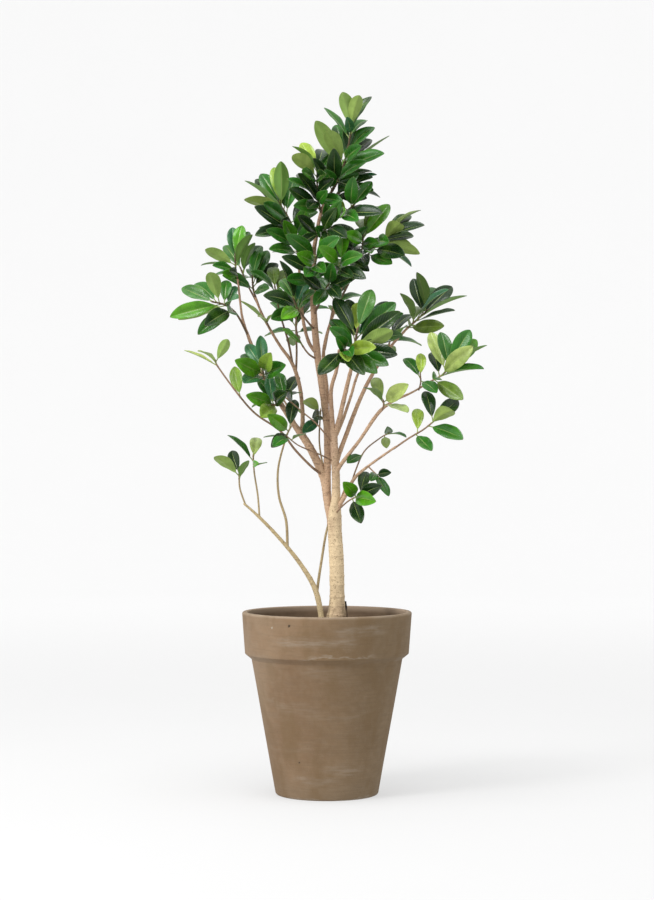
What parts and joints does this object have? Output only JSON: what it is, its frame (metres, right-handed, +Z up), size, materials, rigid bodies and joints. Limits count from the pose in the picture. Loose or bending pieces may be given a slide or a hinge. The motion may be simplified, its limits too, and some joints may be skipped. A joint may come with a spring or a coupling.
{
  "type": "potted ficus",
  "caption": "Young fig with long ascending branches and whorled oval leaves, rooted in soil in a tapered clay pot with a broad rim band.",
  "frame": {"origin": "on the floor, under the middle of the pot", "axes": "+Z up along the pot and the trunk, -Y towards the side shown in front, +X to its right"},
  "size_m": [0.522, 0.3531, 1.173],
  "materials": {
    "clay": "matte unglazed clay, grey-brown with pale smears",
    "soil": "crumbly moist potting soil",
    "net_plastic": "matte black plastic",
    "trunk_bark": "smooth pale bark with small pits",
    "branch_bark": "smooth pinkish brown bark",
    "dead_wood": "dry dark wood",
    "leaf": "glossy leathery leaf, paler below"
  },
  "bodies": {
    "root": {"apex_left_shoot": "leaf", "apex_shoot": "leaf", "back_branch": "branch_bark", "behind_trunk_shoot": "leaf", "big_rosette_shoot": "leaf", "crown_front_shoot": "leaf", "crown_inner_shoot": "leaf", "crown_left_shoot": "leaf", "crown_right_inner_shoot": "leaf", "crown_right_shoot": "leaf", "crown_stem": "branch_bark", "cut_stub": "branch_bark", "drain_net": "net_plastic", "far_left_shoot": "leaf", "front_branch": "branch_bark", "front_cluster_shoot": "leaf", "front_leader": "branch_bark", "inner_left_shoot": "leaf", "inner_left_twig": "leaf", "leader_mid_shoot": "leaf", "leader_right_shoot": "leaf", "left_centre_shoot": "leaf", "left_crossing_low_twig": "leaf", "left_crossing_twig": "leaf", "left_front_shoot": "leaf", "left_limb": "branch_bark", "left_low_branch": "leaf", "left_mid_shoot": "leaf", "left_rear_shoot": "leaf", "left_tip_shoot": "leaf", "left_twiglet": "leaf", "left_upper_branch": "branch_bark", "left_upper_shoot": "leaf", "pot": "clay", "pruned_sucker": "dead_wood", "rear_crown_shoot": "leaf", "rear_leader": "branch_bark", "rear_left_shoot": "leaf", "rear_low_left_shoot": "leaf", "rear_right_shoot": "leaf", "rear_right_upper_shoot": "leaf", "right_inner_shoot": "leaf", "right_limb": "branch_bark", "right_limb_inner_shoot": "leaf", "right_limb_mid_shoot": "leaf", "right_limb_shoot": "leaf", "right_low_branch": "branch_bark", "right_low_shoot": "leaf", "right_low_twiglet": "leaf", "right_tip_shoot": "leaf", "right_upper_branch": "branch_bark", "side_stem": "trunk_bark", "side_stem_inner_shoot": "leaf", "side_tip_shoot": "leaf", "side_upper_shoot": "leaf", "soil": "soil", "trunk": "trunk_bark", "trunk_front_shoot": "leaf", "upper_left_branch": "branch_bark", "upper_left_shoot": "leaf"}
  },
  "joints": []
}
